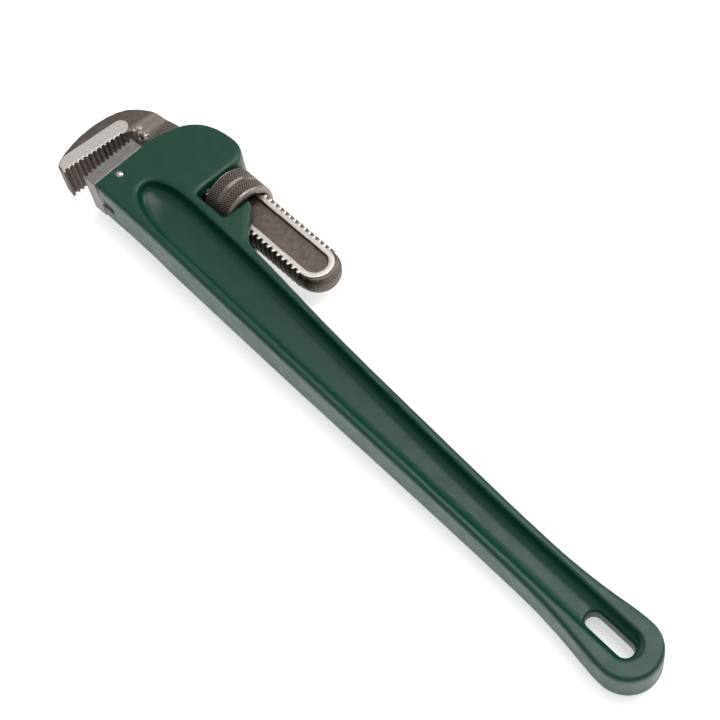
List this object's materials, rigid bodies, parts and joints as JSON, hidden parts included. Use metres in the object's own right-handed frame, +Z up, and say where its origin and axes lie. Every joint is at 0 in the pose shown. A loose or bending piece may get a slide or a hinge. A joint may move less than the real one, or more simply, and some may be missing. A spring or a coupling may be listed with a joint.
{
  "type": "pipe wrench",
  "caption": "Heavy straight pipe wrench with a screw-adjusted toothed hook jaw, a pinned heel jaw and a ribbed cast handle with a hanging slot.",
  "frame": {"origin": "centre of the bounding box's bottom face, the plane that the wrench's lowest point touches when it lies on its side", "axes": "+X along the handle from the jaws to the tail, +Y from the handle towards the hook jaw's shank, +Z up through the wrench's thickness"},
  "size_m": [0.5394, 0.0994, 0.0406],
  "materials": {
    "green_paint": "satin powder coat on cast iron",
    "jaw_steel": "heat-treated grey steel, ground top",
    "bright_steel": "polished domed ends",
    "phosphate_steel": "forged, brown-grey phosphate with ground lands",
    "nut_steel": "diamond knurled, phosphate",
    "spring_steel": "oiled spring steel"
  },
  "bodies": {
    "frame": {"handle": "green_paint", "heel_jaw": "jaw_steel", "heel_jaw_pin": "bright_steel", "leaf_spring_rivet": "spring_steel", "coil_spring": "spring_steel"},
    "jaw_rocker": {"leaf_spring": "spring_steel"},
    "hook": {"hook_jaw": "phosphate_steel"},
    "nut": {"adjusting_nut": "nut_steel"}
  },
  "joints": [
    {"name": "hook_rock", "type": "hinge", "parent": "frame", "child": "jaw_rocker", "pos_m": [-0.1473, 0.02334, 0.0203], "axis": [0, 0, 1], "range_deg": [0, 1.6], "stiffness_Nm_per_rad": 18, "springref_deg": -5.73, "deforming": ["leaf_spring", "coil_spring"]},
    {"name": "hook_slide", "type": "slide", "parent": "jaw_rocker", "child": "hook", "axis": [-0.9998, -0.0192, 0], "range_m": [-0.0085, 0.063]},
    {"name": "nut_spin", "type": "hinge", "parent": "jaw_rocker", "child": "nut", "pos_m": [-0.1473, 0.02334, 0.0203], "axis": [-0.9998, -0.0192, 0], "range_deg": [-618, 4546]}
  ],
  "couplings": [
    {"joint": "nut_spin", "follows": "hook_slide", "rad_per_m": 1256.6}
  ]
}
